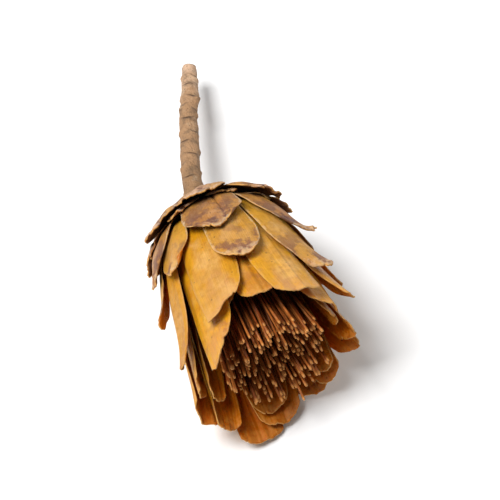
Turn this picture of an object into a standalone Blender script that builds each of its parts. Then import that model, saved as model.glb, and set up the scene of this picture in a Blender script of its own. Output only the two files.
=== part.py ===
"""A dried protea head on its cut stem, lying on its side.

Six rings of stiff, leathery bracts overlap like roof tiles round a woody receptacle, which
carries a brush of cut florets. The head's axis runs along Y: the stem is at +Y and the open
mouth at -Y. Lengths are in millimetres until a mesh is placed, then in metres.
"""

import math
import random
from dataclasses import dataclass

import bmesh
import bpy
from mathutils import Vector

MM = 0.001

# How the head lies: its mouth is raised until the belly and the lowest rim both touch down.
MOUTH_RAISED_DEG = 6.4

BRACT_THICKNESS = 0.8
SIDE_GAP_DEG = 2.4

# Radius of the woody receptacle at each distance along the axis.
RECEPTACLE_PROFILE = ((0.0, 5.2), (2.0, 7.4), (5.0, 9.2), (9.0, 10.6), (13.0, 11.4), (17.0, 11.8))
RECEPTACLE_STEPS = 24

FLORET_PAD_START = 17.4
FLORET_PAD_DEPTH = 1.2
FLORET_PAD_RADIUS = 11.2
FLORET_ROWS = 13
FLORET_TIP = 57.5
FLORET_RIM_RISE = 3.5
FLORET_UNEVEN = 2.0
FLORET_SPREAD = 1.52
FLORET_SCATTER = 0.16
FLORET_INSET = 0.17
FLORET_LEAN = 0.25
FLORET_TAPER = 0.95

STEM_ROUTE = ((0.0, 0.4, 0.0), (0.1, 7.0, 0.0), (1.8, 16.0, -0.4), (5.8, 28.5, -1.0),
              (9.4, 40.0, -1.0), (13.8, 51.0, -2.0), (17.4, 62.0, -2.4))
STEM_RADII = (4.8, 3.3, 3.0, 3.1, 2.9, 2.9, 2.7)


@dataclass(frozen=True)
class Bract:
    """One bract's own form: angles in degrees round the axis, where 90 is the top."""

    angle: float
    reach: float
    tip: float = 0.8
    flare: float = 0.0
    cup: float = 0.0
    skew: float = 0.0
    slant: float = 0.0
    broad: float = 1.0


@dataclass(frozen=True)
class Ring:
    """A ring of bracts that share one curve along the head."""

    name: str
    profile: tuple
    width: float
    base: float
    lag: float
    flare_from: float
    columns: int
    rows: int
    colour: tuple
    bracts: tuple


RINGS = (
    Ring("basal_scale", ((1.0, 7.5), (3.5, 11.2), (7.0, 16.0), (10.0, 19.2), (14.0, 21.8)),
         16.0, 0.62, 1.8, 0.30, 3, 4, (0.40, 0.22, 0.09), (
             Bract(98, 13.5, 0.82, 2.8, 0.4, 4), Bract(53, 13.5, 0.78, 2.4, 0.3, -3),
             Bract(8, 14.0, 0.74, 1.5, 0.3, 3), Bract(-37, 12.4, 0.74, -0.4, 0.2, 4),
             Bract(-82, 12.4, 0.74, -0.4, 0.2, -3), Bract(-127, 12.4, 0.74, -0.2, 0.3, 4),
             Bract(-172, 14.0, 0.74, 0.8, 0.3, -2), Bract(143, 13.0, 0.78, 1.8, 0.4, 3))),
    Ring("round_scale", ((3.8, 9.4), (7.0, 13.8), (12.0, 18.9), (20.0, 22.6), (30.0, 24.6)),
         19.0, 0.60, 3.4, 0.60, 4, 6, (0.55, 0.30, 0.12), (
             Bract(98, 27.5, 0.46, 0.9, -0.2, 0), Bract(47, 31.0, 0.52, 2.2, 0.2, -14),
             Bract(-14, 29.0, 0.42, 1.3, 0.2, 3), Bract(-62, 25.0, 0.46, -0.3, 0.0, 0),
             Bract(-119, 25.0, 0.46, -0.3, 0.0, 0), Bract(164, 26.5, 0.40, 0.6, 0.3, 4))),
    Ring("outer_bract", ((6.6, 10.7), (10.0, 14.7), (15.0, 18.5), (22.0, 21.2), (32.0, 23.4),
                         (48.0, 26.1)),
         17.4, 0.56, 2.8, 0.62, 4, 7, (0.66, 0.38, 0.13), (
             Bract(91, 42.0, 0.45, 0.9, -0.3, 1), Bract(55, 42.0, 0.46, 2.2, 0.2, -15),
             Bract(-2, 43.0, 0.35, 1.6, 0.2, 3), Bract(-48, 42.0, 0.40, 0.2, 0.2, 3),
             Bract(-90, 36.5, 0.45, -0.9, 0.0, 0), Bract(-134, 42.0, 0.40, 0.2, 0.2, -3),
             Bract(-176, 36.0, 0.34, 2.6, 0.3, 0), Bract(141, 31.0, 0.40, 0.8, 0.2, 2))),
    Ring("long_bract", ((9.4, 11.6), (13.0, 15.0), (18.0, 17.9), (25.0, 20.0), (40.0, 22.8),
                        (56.0, 25.2), (70.0, 26.6)),
         17.6, 0.52, 0.8, 0.70, 4, 9, (0.80, 0.50, 0.18), (
             Bract(117, 53.5, 0.80, 0.8, -0.6, 0, 3.5), Bract(70, 58.0, 0.86, 0.8, -0.5, 0, -0.5),
             Bract(23, 56.0, 0.26, 2.6, 0.6, 2), Bract(-24, 58.0, 0.60, 1.8, 0.8, 2, 1.0),
             Bract(-63, 60.0, 0.66, 0.2, 0.2, 0, 1.0), Bract(-107, 68.5, 0.82, 0.1, 0.1, 0, -0.8, 1.2),
             Bract(-155, 65.0, 0.55, 1.0, 0.8, 0, 1.5), Bract(165, 57.0, 0.24, 1.4, 0.6, 3))),
    Ring("inner_bract", ((12.2, 12.3), (16.0, 14.9), (21.0, 16.9), (28.0, 18.3), (42.0, 20.7),
                         (56.0, 22.7), (70.0, 24.2)),
         17.8, 0.50, 2.2, 0.80, 4, 9, (0.78, 0.46, 0.15), (
             Bract(90, 53.5, 0.80, 0.3, -0.4, 0, 0.5), Bract(45, 60.0, 0.84, 0.4, 0.6, 0, -1.5),
             Bract(-2, 60.5, 0.80, 0.4, 0.8, 2, 0.8), Bract(-44, 61.0, 0.70, 0.3, 0.9, 0, -1.5),
             Bract(-91, 65.5, 0.80, 0.2, 0.6, 0, -1.0, 1.15), Bract(-136, 65.0, 0.74, 0.4, 0.8, 0, 0.8),
             Bract(-178, 62.0, 0.60, 0.4, 0.6, 0, 1.0), Bract(135, 64.0, 0.74, 0.4, 0.3, 0, 4.5))),
    Ring("throat_bract", ((15.4, 12.7), (19.0, 13.9), (24.0, 15.0), (31.0, 16.4), (45.0, 18.5),
                          (56.0, 20.0), (68.0, 21.3)),
         17.4, 0.50, 2.2, 0.90, 4, 8, (0.62, 0.32, 0.08), (
             Bract(70, 50.0, 0.72, 0.0, 0.4, 0, -1.2), Bract(18, 58.0, 0.72, 0.0, 0.6, 2, -0.8),
             Bract(-40, 60.0, 0.72, 0.0, 1.0, 0, 0.8), Bract(-97, 63.0, 0.78, 0.0, 1.0, 0, -0.8),
             Bract(-156, 61.0, 0.70, 0.0, 0.8, -2, 0.8), Bract(128, 51.0, 0.70, 0.0, 0.4, 0, 1.5))),
)


def smooth_lookup(points, place):
    """Value at a place on a smooth curve through (place, value) points, straight past its ends."""
    count = len(points)
    slopes = [(points[i + 1][1] - points[i][1]) / (points[i + 1][0] - points[i][0])
              for i in range(count - 1)]
    tangents = [slopes[0]] + [(a + b) / 2 for a, b in zip(slopes, slopes[1:])] + [slopes[-1]]
    if place <= points[0][0]:
        return points[0][1] + tangents[0] * (place - points[0][0])
    if place >= points[-1][0]:
        return points[-1][1] + tangents[-1] * (place - points[-1][0])
    i = max(k for k in range(count - 1) if points[k][0] <= place)
    span = points[i + 1][0] - points[i][0]
    f = (place - points[i][0]) / span
    return ((2 * f**3 - 3 * f**2 + 1) * points[i][1] + (f**3 - 2 * f**2 + f) * span * tangents[i]
            + (3 * f**2 - 2 * f**3) * points[i + 1][1] + (f**3 - f**2) * span * tangents[i + 1])


def past(value, start):
    """Share of the way that a value has gone from start to 1, and 0 before it."""
    return max(0.0, (value - start) / (1.0 - start))


def on_head(radius, angle, along):
    """Point in metres at a radius, an angle in radians and a distance along the head's axis."""
    return Vector((radius * math.cos(angle), -along, radius * math.sin(angle))) * MM


def width_share(ring, bract, s):
    """Share of the full width at s, from the narrow base over the middle to the tip."""
    rise = min(1.0, s / 0.45)
    body = ring.base + (1.0 - ring.base) * math.sin(rise * math.pi / 2)
    return body * (1.0 - (1.0 - bract.tip) * past(s, 0.45) ** 2.2)


def bract_point(ring, bract, s, u):
    """Point on a bract's middle surface: s runs from base to tip, u from edge to edge."""
    start = ring.profile[0][0]
    along = start + (bract.reach - start) * s
    along += (bract.slant * u - ring.lag * u * u) * s**3
    radius = smooth_lookup(ring.profile, along)
    middle = bract.angle + bract.skew * s * s
    apart = [abs((other.angle + other.skew * s * s - middle + 180) % 360 - 180)
             for other in ring.bracts if other is not bract]
    widest = math.radians(min(apart) - SIDE_GAP_DEG) / 2
    half = min(ring.width * bract.broad * width_share(ring, bract, s) / 2 / radius, widest)
    angle = math.radians(middle) + half * u
    radius += bract.flare * past(s, ring.flare_from) ** 2 - bract.cup * u * u * s * s
    return on_head(radius, angle, along)


def make_material(name, colour, roughness):
    """A plain Principled material."""
    material = bpy.data.materials.new(name)
    material.use_nodes = True
    shader = material.node_tree.nodes["Principled BSDF"]
    shader.inputs["Base Color"].default_value = (*colour, 1.0)
    shader.inputs["Roughness"].default_value = roughness
    shader.inputs["Metallic"].default_value = 0.0
    return material


def add_object(name, mesh, collection, head, material):
    """Link a mesh as a named object under the head's empty."""
    for polygon in mesh.polygons:
        polygon.use_smooth = True
    piece = bpy.data.objects.new(name, mesh)
    piece.data.materials.append(material)
    piece.parent = head
    collection.objects.link(piece)
    return piece


def mesh_from(bm, name):
    """Store a bmesh as a mesh and free it."""
    mesh = bpy.data.meshes.new(name)
    bm.to_mesh(mesh)
    bm.free()
    return mesh


def make_bract(ring, bract, number, collection, head, material):
    """One bract: a grid bent onto its surface and thickened."""
    bm = bmesh.new()
    bmesh.ops.create_grid(bm, x_segments=ring.columns, y_segments=ring.rows, size=1.0)
    for vert in bm.verts:
        vert.co = bract_point(ring, bract, (vert.co.y + 1) / 2, vert.co.x)
    name = f"{ring.name}_{number}"
    piece = add_object(name, mesh_from(bm, name), collection, head, material)
    shell = piece.modifiers.new("thickness", "SOLIDIFY")
    shell.thickness = BRACT_THICKNESS * MM
    shell.offset = 0.0
    return piece


def make_receptacle(collection, head):
    """The woody cone inside, turned round the head's axis."""
    bm = bmesh.new()
    outline = [(0.0, RECEPTACLE_PROFILE[0][0])]
    outline += [(radius, along) for along, radius in RECEPTACLE_PROFILE]
    outline += [(0.0, RECEPTACLE_PROFILE[-1][0])]
    verts = [bm.verts.new((radius * MM, -along * MM, 0.0)) for radius, along in outline]
    for first, second in zip(verts, verts[1:]):
        bm.edges.new((first, second))
    material = make_material("receptacle_wood", (0.20, 0.10, 0.05), 0.8)
    piece = add_object("receptacle", mesh_from(bm, "receptacle"), collection, head, material)
    turn = piece.modifiers.new("turn", "SCREW")
    turn.axis = "Y"
    turn.steps = RECEPTACLE_STEPS
    turn.render_steps = RECEPTACLE_STEPS
    turn.use_merge_vertices = True
    turn.merge_threshold = 0.00001
    return piece


def make_florets(collection, head):
    """The brush: a round pad whose cells each grow into a stick, all one body."""
    draw = random.Random(11)
    bm = bmesh.new()
    pitch = 2 * FLORET_PAD_RADIUS / FLORET_ROWS
    bmesh.ops.create_grid(bm, x_segments=FLORET_ROWS, y_segments=FLORET_ROWS, size=FLORET_PAD_RADIUS)
    outside = [face for face in bm.faces
               if face.calc_center_median().length > FLORET_PAD_RADIUS - 0.35 * pitch]
    bmesh.ops.delete(bm, geom=outside, context="FACES")
    for vert in bm.verts:
        if not vert.is_boundary:
            vert.co.x += draw.uniform(-FLORET_SCATTER, FLORET_SCATTER) * pitch
            vert.co.y += draw.uniform(-FLORET_SCATTER, FLORET_SCATTER) * pitch
    top = bm.faces[:]
    grown = bmesh.ops.extrude_face_region(bm, geom=top, use_keep_orig=True)
    base_faces = [item for item in grown["geom"] if isinstance(item, bmesh.types.BMFace)]
    for vert in {vert for face in base_faces for vert in face.verts}:
        vert.co.z -= FLORET_PAD_DEPTH
    bmesh.ops.recalc_face_normals(bm, faces=bm.faces[:])
    bmesh.ops.inset_individual(bm, faces=top, thickness=FLORET_INSET * pitch, depth=0.0)
    sticks = bmesh.ops.extrude_discrete_faces(bm, faces=top)["faces"]
    for face in sticks:
        middle = face.calc_center_median()
        height = FLORET_TIP - FLORET_PAD_START - FLORET_PAD_DEPTH
        height += draw.uniform(-FLORET_UNEVEN, FLORET_UNEVEN)
        height += FLORET_RIM_RISE * (middle.length / FLORET_PAD_RADIUS) ** 2
        lean = Vector([draw.uniform(-FLORET_LEAN, FLORET_LEAN) for _ in range(2)] + [0.0])
        for vert in face.verts:
            offset = vert.co - middle
            vert.co = middle * FLORET_SPREAD + lean + offset * FLORET_TAPER
            vert.co.z = height
    for vert in bm.verts:
        across, up, height = vert.co
        along = FLORET_PAD_START + FLORET_PAD_DEPTH + height
        vert.co = Vector((across, -along, up)) * MM
    bmesh.ops.recalc_face_normals(bm, faces=bm.faces[:])
    material = make_material("floret_brown", (0.28, 0.11, 0.04), 0.75)
    return add_object("florets", mesh_from(bm, "florets"), collection, head, material)


def make_stem(collection, head):
    """The cut stem, a bevelled curve that flares where it meets the receptacle."""
    curve = bpy.data.curves.new("stem", "CURVE")
    curve.dimensions = "3D"
    curve.bevel_depth = MM
    curve.bevel_resolution = 3
    curve.resolution_u = 3
    curve.use_fill_caps = True
    spline = curve.splines.new("BEZIER")
    spline.bezier_points.add(len(STEM_ROUTE) - 1)
    for point, place, radius in zip(spline.bezier_points, STEM_ROUTE, STEM_RADII):
        point.co = Vector(place) * MM
        point.radius = radius
        point.handle_left_type = "AUTO"
        point.handle_right_type = "AUTO"
    stem = bpy.data.objects.new("stem", curve)
    stem.data.materials.append(make_material("stem_bark", (0.42, 0.27, 0.15), 0.8))
    stem.parent = head
    collection.objects.link(stem)
    return stem


def lay_down(head, collection):
    """Raise the mouth, then put the lowest point on the floor under the middle of the box."""
    head.rotation_euler = (math.radians(-MOUTH_RAISED_DEG), 0.0, 0.0)
    bpy.context.view_layer.update()
    graph = bpy.context.evaluated_depsgraph_get()
    places = []
    for piece in collection.objects:
        if piece.type in {"MESH", "CURVE"}:
            shape = piece.evaluated_get(graph)
            mesh = shape.to_mesh()
            places += [piece.matrix_world @ vert.co for vert in mesh.vertices]
            shape.to_mesh_clear()
    low = Vector([min(place[i] for place in places) for i in range(3)])
    high = Vector([max(place[i] for place in places) for i in range(3)])
    head.location -= Vector(((low.x + high.x) / 2, (low.y + high.y) / 2, low.z))
    bpy.context.view_layer.update()


def main():
    """Build the whole head."""
    for item in list(bpy.data.objects):
        bpy.data.objects.remove(item, do_unlink=True)
    collection = bpy.data.collections.new("dried_protea_head")
    bpy.context.scene.collection.children.link(collection)
    head = bpy.data.objects.new("head_axis", None)
    collection.objects.link(head)
    make_stem(collection, head)
    make_receptacle(collection, head)
    make_florets(collection, head)
    for ring in RINGS:
        material = make_material(f"{ring.name}_leather", ring.colour, 0.6)
        for number, bract in enumerate(ring.bracts, start=1):
            make_bract(ring, bract, number, collection, head, material)
    lay_down(head, collection)


main()
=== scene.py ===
"""The finished look of a dried protea head lying on its side, in the CAD model's frame.

The head's axis runs along Y: stem at +Y, open mouth at -Y. Shapes are worked out in
millimetres along and round that axis, then placed in metres.
"""

import logging
import math
import random
from dataclasses import dataclass
from enum import Enum

import bmesh
import bpy
from mathutils import Euler, Matrix, Vector, noise


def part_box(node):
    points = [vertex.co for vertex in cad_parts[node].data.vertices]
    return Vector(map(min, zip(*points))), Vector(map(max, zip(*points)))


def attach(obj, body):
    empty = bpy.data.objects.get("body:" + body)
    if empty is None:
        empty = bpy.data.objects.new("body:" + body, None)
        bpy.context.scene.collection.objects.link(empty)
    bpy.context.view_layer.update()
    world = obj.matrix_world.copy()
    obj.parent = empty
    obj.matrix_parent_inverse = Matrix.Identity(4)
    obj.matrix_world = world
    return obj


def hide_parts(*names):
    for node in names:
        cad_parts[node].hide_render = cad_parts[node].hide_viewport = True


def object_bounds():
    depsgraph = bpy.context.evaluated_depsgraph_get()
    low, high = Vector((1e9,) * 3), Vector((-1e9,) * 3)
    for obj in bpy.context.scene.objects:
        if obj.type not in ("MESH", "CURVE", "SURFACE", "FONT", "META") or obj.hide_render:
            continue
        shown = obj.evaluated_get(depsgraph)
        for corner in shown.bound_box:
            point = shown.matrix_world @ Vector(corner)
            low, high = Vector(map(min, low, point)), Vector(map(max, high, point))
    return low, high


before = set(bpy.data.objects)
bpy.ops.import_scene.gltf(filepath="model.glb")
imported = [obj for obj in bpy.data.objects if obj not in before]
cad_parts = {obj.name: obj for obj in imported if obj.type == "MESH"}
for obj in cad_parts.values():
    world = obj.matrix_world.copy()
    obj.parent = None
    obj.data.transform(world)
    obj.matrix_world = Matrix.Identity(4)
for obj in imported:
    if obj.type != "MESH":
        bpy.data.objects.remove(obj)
CAD_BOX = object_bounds()

LOG = logging.getLogger("protea")
MM = 0.001
MOUTH_RAISED_DEG = 6.4
GOLDEN_ANGLE = math.radians(137.508)
FLOOR_CLEARANCE = 0.0003
GLOW_REACH = 0.0016
GLOW_SPREAD = (1.0, 0.42, 0.08)
# Near-black brown painted over the bracts' bases as shade from the rings above them.
BASE_SHADE = (0.045, 0.016, 0.006)
SPECK = (0.09, 0.03, 0.015)
RECEPTACLE_PROFILE = ((0.0, 5.2), (2.0, 7.4), (5.0, 9.2), (9.0, 10.6), (13.0, 11.4), (17.0, 11.8))
RECEPTACLE_STEPS = 24

Colour = tuple[float, float, float]
Profile = tuple[tuple[float, float], ...]


# ---------------------------------------------------------------- shape helpers


def smooth_lookup(points: Profile, place: float) -> float:
    """Read a smooth curve through (place, value) points, straight past its ends.

    Args:
        points: The curve's points in rising order of place.
        place: Where to read it.

    Returns:
        The curve's value there.
    """
    count = len(points)
    slopes = [(points[i + 1][1] - points[i][1]) / (points[i + 1][0] - points[i][0])
              for i in range(count - 1)]
    tangents = [slopes[0]] + [(a + b) / 2 for a, b in zip(slopes, slopes[1:])] + [slopes[-1]]
    if place <= points[0][0]:
        return points[0][1] + tangents[0] * (place - points[0][0])
    if place >= points[-1][0]:
        return points[-1][1] + tangents[-1] * (place - points[-1][0])
    i = max(k for k in range(count - 1) if points[k][0] <= place)
    span = points[i + 1][0] - points[i][0]
    f = (place - points[i][0]) / span
    return ((2 * f**3 - 3 * f**2 + 1) * points[i][1] + (f**3 - 2 * f**2 + f) * span * tangents[i]
            + (3 * f**2 - 2 * f**3) * points[i + 1][1] + (f**3 - f**2) * span * tangents[i + 1])


def past(value: float, start: float) -> float:
    """Share of the way that a value has gone from start to 1, and 0 before it."""
    return max(0.0, (value - start) / (1.0 - start))


def soft_min(first: float, second: float, blend: float) -> float:
    """The smaller of two values, rounded off where they come near each other."""
    near = max(0.0, blend - abs(first - second)) / blend
    return min(first, second) - near * near * blend / 4


def wander(seed: float, x: float, y: float = 0.0) -> float:
    """Smooth noise from about -1 to 1 at a place, different for each seed."""
    return noise.noise(Vector((x + seed * 3.7, y - seed * 1.9, seed)))


def head_point(radius: float, angle: float, along: float) -> Vector:
    """Point in metres at a radius and an angle round the head's own axis, and along it."""
    return Vector((radius * math.cos(angle), -along, radius * math.sin(angle))) * MM


@dataclass(frozen=True)
class Placement:
    """Where the head's axis starts and how it is turned, read from the CAD frame."""

    origin: Vector
    turn: Matrix

    @classmethod
    def from_frame(cls) -> "Placement":
        """Find the axis from the box of the turned receptacle.

        Returns:
            The placement that puts the receptacle's outline into its CAD box.
        """
        turn = Euler((math.radians(-MOUTH_RAISED_DEG), 0.0, 0.0)).to_matrix()
        outline = [turn @ head_point(radius, step * math.tau / RECEPTACLE_STEPS, along)
                   for along, radius in RECEPTACLE_PROFILE for step in range(RECEPTACLE_STEPS)]
        low = Vector([min(point[i] for point in outline) for i in range(3)])
        return cls(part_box("receptacle")[0] - low, turn)

    def at(self, radius: float, angle: float, along: float) -> Vector:
        """World point at a radius, an angle and a distance along the axis."""
        return self.origin + self.turn @ head_point(radius, angle, along)

    def local(self, point: Vector) -> Vector:
        """World point of a point in the head's own frame, in millimetres."""
        return self.origin + self.turn @ (point * MM)


def show(item: bpy.types.Object) -> None:
    """Put an object into the scene."""
    bpy.context.scene.collection.objects.link(item)


def verts_of(geometry: list) -> list[bmesh.types.BMVert]:
    """The vertices among an operator's new geometry."""
    return [item for item in geometry if isinstance(item, bmesh.types.BMVert)]


def new_piece(name: str, bm: bmesh.types.BMesh, materials: list[bpy.types.Material],
              node: str | None = None) -> bpy.types.Object:
    """Store a bmesh as a smooth piece that rides on the part.

    Args:
        name: The piece's name.
        bm: The finished bmesh, which is freed.
        materials: The piece's material slots in order.
        node: The CAD node that the piece replaces, if it replaces one.

    Returns:
        The new object.
    """
    mesh = bpy.data.meshes.new(name)
    bm.to_mesh(mesh)
    bm.free()
    mesh.shade_smooth()
    piece = bpy.data.objects.new(name, mesh)
    show(piece)
    for material in materials:
        mesh.materials.append(material)
    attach(piece, "root")
    if node is not None:
        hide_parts(node)
    LOG.info("%s: %d faces", name, len(mesh.polygons))
    return piece


# ---------------------------------------------------------------- shader helpers


class Graph:
    """Adds and links nodes in one node tree."""

    def __init__(self, tree: bpy.types.NodeTree) -> None:
        """Work on a node tree."""
        self.tree = tree

    def feed(self, socket: bpy.types.NodeSocket, value: object) -> None:
        """Link into a socket, or set it to a plain value.

        Args:
            socket: The input.
            value: A socket, a number or a colour.
        """
        if isinstance(value, bpy.types.NodeSocket):
            self.tree.links.new(value, socket)
        elif socket.type == "RGBA" and len(value) == 3:
            socket.default_value = (*value, 1.0)
        else:
            socket.default_value = value

    def node(self, kind: str, inputs: dict | None = None, **settings: object) -> bpy.types.Node:
        """Add a node.

        Args:
            kind: Its type.
            inputs: Sockets or values for its inputs, by their numbers or names.
            **settings: Properties to set on it.

        Returns:
            The node.
        """
        made = self.tree.nodes.new(kind)
        for key, value in settings.items():
            setattr(made, key, value)
        for key, value in (inputs or {}).items():
            self.feed(made.inputs[key], value)
        return made

    def math(self, operation: str, first: object, second: object = 0.0,
             clamp: bool = False) -> bpy.types.NodeSocket:
        """Combine two values with a math operation."""
        return self.node("ShaderNodeMath", {0: first, 1: second}, operation=operation,
                         use_clamp=clamp).outputs[0]

    def times(self, first: object, second: object) -> bpy.types.NodeSocket:
        """Product of two values."""
        return self.math("MULTIPLY", first, second)

    def plus(self, first: object, second: object) -> bpy.types.NodeSocket:
        """Sum of two values."""
        return self.math("ADD", first, second)

    def mix(self, share: object, first: object, second: object,
            blend: str = "MIX") -> bpy.types.NodeSocket:
        """Mix two colours by a share."""
        return self.node("ShaderNodeMix", {0: share, 6: first, 7: second}, data_type="RGBA",
                         blend_type=blend).outputs[2]

    def tint(self, colour: object, factor: Colour) -> bpy.types.NodeSocket:
        """A colour multiplied by a factor for each channel."""
        return self.mix(1.0, colour, factor, "MULTIPLY")

    def cover(self, colour: object, mask: object, strength: float,
              over: object) -> bpy.types.NodeSocket:
        """A colour with another laid over it where a mask is on, as strongly as asked."""
        return self.mix(self.times(mask, strength), colour, over)

    def ease(self, value: object, low: float, high: float,
             to_low: float = 0.0, to_high: float = 1.0) -> bpy.types.NodeSocket:
        """Map a value smoothly from one range to another."""
        inputs = dict(enumerate((value, low, high, to_low, to_high)))
        return self.node("ShaderNodeMapRange", inputs, interpolation_type="SMOOTHSTEP").outputs[0]

    def ramp(self, share: object, stops: tuple[tuple[float, Colour], ...]) -> bpy.types.NodeSocket:
        """Read a colour ramp.

        Args:
            share: Where to read it.
            stops: Its places and colours in order.

        Returns:
            The colour's socket.
        """
        made = self.node("ShaderNodeValToRGB")
        self.feed(made.inputs[0], share)
        elements = made.color_ramp.elements
        while len(elements) < len(stops):
            elements.new(0.5)
        for element, (place, colour) in zip(elements, stops):
            element.position = place
            element.color = (*colour, 1.0)
        return made.outputs[0]

    def place(self) -> bpy.types.NodeSocket:
        """The surface's own place on the object."""
        return self.node("ShaderNodeTexCoord").outputs["Object"]

    def attribute(self, name: str) -> bpy.types.NodeSocket:
        """A value that the mesh stores under a name."""
        return self.node("ShaderNodeAttribute", attribute_name=name).outputs["Fac"]

    def stretch(self, vector: object, factors: object) -> bpy.types.NodeSocket:
        """A vector scaled by a factor along each axis."""
        return self.node("ShaderNodeVectorMath", {0: vector, 1: factors},
                         operation="MULTIPLY").outputs[0]

    def noise(self, vector: object, scale: object, detail: float = 3.0,
              rough: float = 0.55) -> bpy.types.NodeSocket:
        """Fractal noise value over a vector."""
        inputs = {"Vector": vector, "Scale": scale, "Detail": detail, "Roughness": rough}
        return self.node("ShaderNodeTexNoise", inputs).outputs[0]

    def group(self, pattern: "PatternGroup", **values: object) -> bpy.types.NodeSocket:
        """A shared pattern's value, with its inputs given by name in small letters."""
        inputs = {key.capitalize(): value for key, value in values.items()}
        return self.node("ShaderNodeGroup", inputs, node_tree=pattern.tree()).outputs[0]

    def patches(self, vector: object, scale: float, threshold: float,
                softness: float) -> bpy.types.NodeSocket:
        """Mask of soft-edged patches over a vector."""
        return self.group(PatternGroup.PATCHES, vector=vector, scale=scale, threshold=threshold,
                          softness=softness)


class PatternGroup(Enum):
    """The surface patterns that several finishes share, each a node group built once."""

    VEINS = "long_veins"
    PATCHES = "soft_patches"
    SPECKS = "dark_specks"

    def tree(self) -> bpy.types.NodeTree:
        """Find the group, or build it the first time.

        Returns:
            The node group.
        """
        found = bpy.data.node_groups.get(self.value)
        if found is not None:
            return found
        builders = {PatternGroup.VEINS: build_veins, PatternGroup.PATCHES: build_patches,
                    PatternGroup.SPECKS: build_specks}
        return builders[self](self.value)


def open_group(name: str, inputs: tuple[tuple[str, str, float], ...],
               output: str) -> tuple[Graph, bpy.types.Node, bpy.types.Node]:
    """Start a shader node group.

    Args:
        name: The group's name.
        inputs: Each input's name, socket kind and default value.
        output: The name of its one value output.

    Returns:
        The graph, the input node and the output node.
    """
    tree = bpy.data.node_groups.new(name, "ShaderNodeTree")
    for label, kind, value in inputs:
        socket = tree.interface.new_socket(label, in_out="INPUT", socket_type=kind)
        if kind == "NodeSocketFloat":
            socket.default_value = value
    tree.interface.new_socket(output, in_out="OUTPUT", socket_type="NodeSocketFloat")
    graph = Graph(tree)
    return graph, graph.node("NodeGroupInput"), graph.node("NodeGroupOutput")


def build_veins(name: str) -> bpy.types.NodeTree:
    """Streaks that run along a leaf, from its U and V.

    Args:
        name: The node group's name.

    Returns:
        The node group.
    """
    graph, given, out = open_group(name, (("Vector", "NodeSocketVector", 0.0),
                                          ("Across", "NodeSocketFloat", 40.0),
                                          ("Along", "NodeSocketFloat", 2.0)), "Value")
    scale = graph.node("ShaderNodeCombineXYZ",
                       {0: given.outputs["Across"], 1: given.outputs["Along"]})
    stretched = graph.stretch(given.outputs["Vector"], scale.outputs[0])
    streaks = graph.noise(stretched, 1.0, 4.0, 0.6)
    graph.feed(out.inputs[0], graph.ease(streaks, 0.34, 0.68))
    return graph.tree


def build_patches(name: str) -> bpy.types.NodeTree:
    """Soft-edged patches that cover a chosen share of the surface.

    Args:
        name: The node group's name.

    Returns:
        The node group.
    """
    graph, given, out = open_group(name, (("Vector", "NodeSocketVector", 0.0),
                                          ("Scale", "NodeSocketFloat", 100.0),
                                          ("Threshold", "NodeSocketFloat", 0.5),
                                          ("Softness", "NodeSocketFloat", 0.1)), "Mask")
    cloud = graph.noise(given.outputs["Vector"], given.outputs["Scale"], 5.0, 0.62)
    above = graph.math("SUBTRACT", cloud, given.outputs["Threshold"])
    scaled = graph.math("DIVIDE", above, given.outputs["Softness"])
    graph.feed(out.inputs[0], graph.ease(scaled, -1.0, 1.0))
    return graph.tree


def build_specks(name: str) -> bpy.types.NodeTree:
    """Sparse small dots.

    Args:
        name: The node group's name.

    Returns:
        The node group.
    """
    graph, given, out = open_group(name, (("Vector", "NodeSocketVector", 0.0),
                                          ("Scale", "NodeSocketFloat", 400.0),
                                          ("Size", "NodeSocketFloat", 0.15)), "Mask")
    cells = graph.node("ShaderNodeTexVoronoi", {key: given.outputs[key] for key in
                                                ("Vector", "Scale")}, feature="F1")
    dot = graph.math("SUBTRACT", given.outputs["Size"], cells.outputs["Distance"])
    dot = graph.math("MULTIPLY", dot, 18.0, clamp=True)
    red = graph.node("ShaderNodeSeparateColor", {0: cells.outputs["Color"]})
    rare = graph.math("GREATER_THAN", red.outputs[0], 0.72)
    graph.feed(out.inputs[0], graph.times(dot, rare))
    return graph.tree


def start_material(name: str, roughness: float, specular: float = 0.22
                   ) -> tuple[bpy.types.Material, Graph, bpy.types.Node]:
    """Start a Principled material.

    Args:
        name: The material's name.
        roughness: The shader's own roughness, which a finish may feed over.
        specular: Its specular level.

    Returns:
        The material, its graph and the shader node.
    """
    material = bpy.data.materials.new(name)
    material.use_nodes = True
    shader = material.node_tree.nodes["Principled BSDF"]
    shader.inputs["Roughness"].default_value = roughness
    shader.inputs["Specular IOR Level"].default_value = specular
    return material, Graph(material.node_tree), shader


def add_bump(graph: Graph, shader: bpy.types.Node, height: object, distance: float,
             strength: float) -> None:
    """Feed a height through a Bump node into the shader's normal."""
    bump = graph.node("ShaderNodeBump", {"Strength": strength, "Distance": distance, "Height": height})
    graph.feed(shader.inputs["Normal"], bump.outputs[0])


# ---------------------------------------------------------------- finishes


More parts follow.
